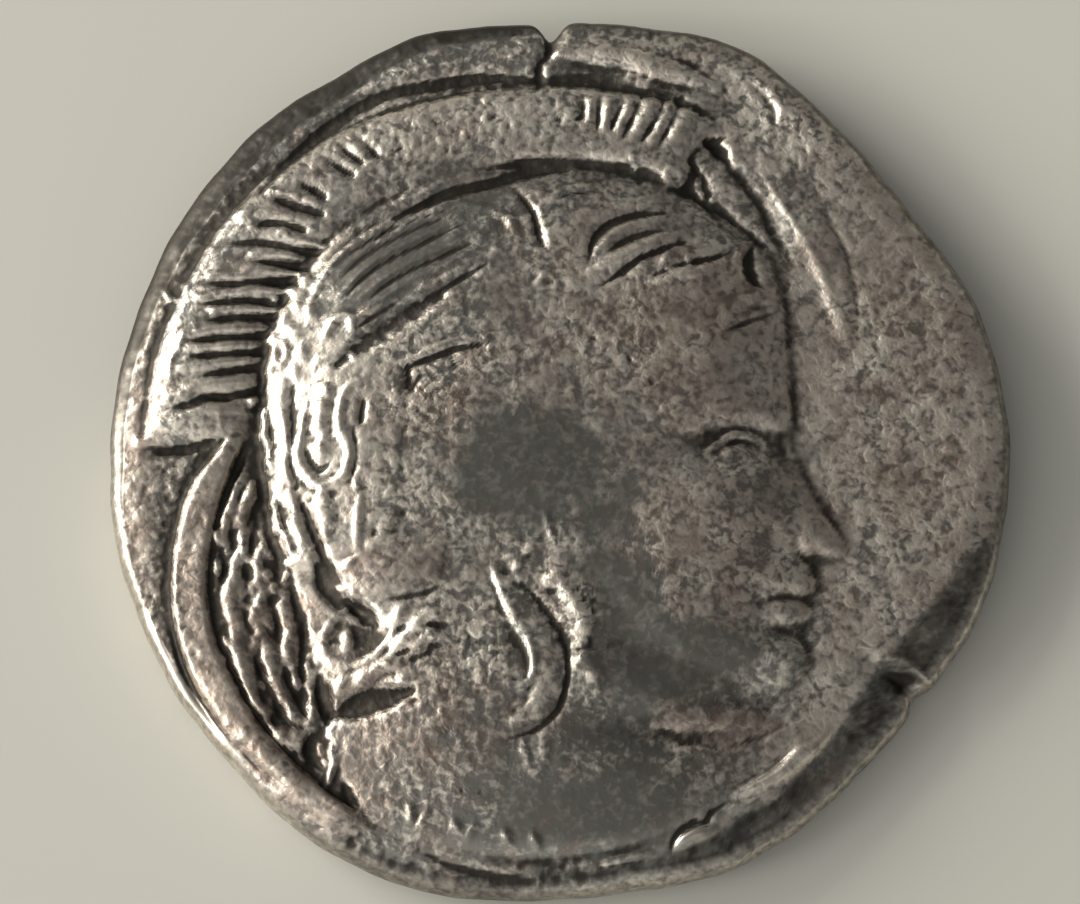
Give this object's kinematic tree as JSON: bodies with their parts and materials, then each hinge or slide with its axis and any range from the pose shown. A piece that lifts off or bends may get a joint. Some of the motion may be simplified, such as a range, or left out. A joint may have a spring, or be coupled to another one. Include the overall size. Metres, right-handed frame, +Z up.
{
  "type": "coin",
  "caption": "Struck silver didrachm with a helmeted head in relief on one face and an ear of barley on the other, worn and toned.",
  "frame": {"origin": "under the middle of the coin's box, on the plane that it lies on", "axes": "+Z up through the struck head's face, +Y towards the top of the head, +X the way the head faces"},
  "size_m": [0.0222, 0.0222, 0.0029],
  "materials": {
    "toned_silver": "struck silver, worn bright on the high parts, dark grey-brown tone in the low parts"
  },
  "bodies": {
    "root": {"coin": "toned_silver"}
  },
  "joints": []
}
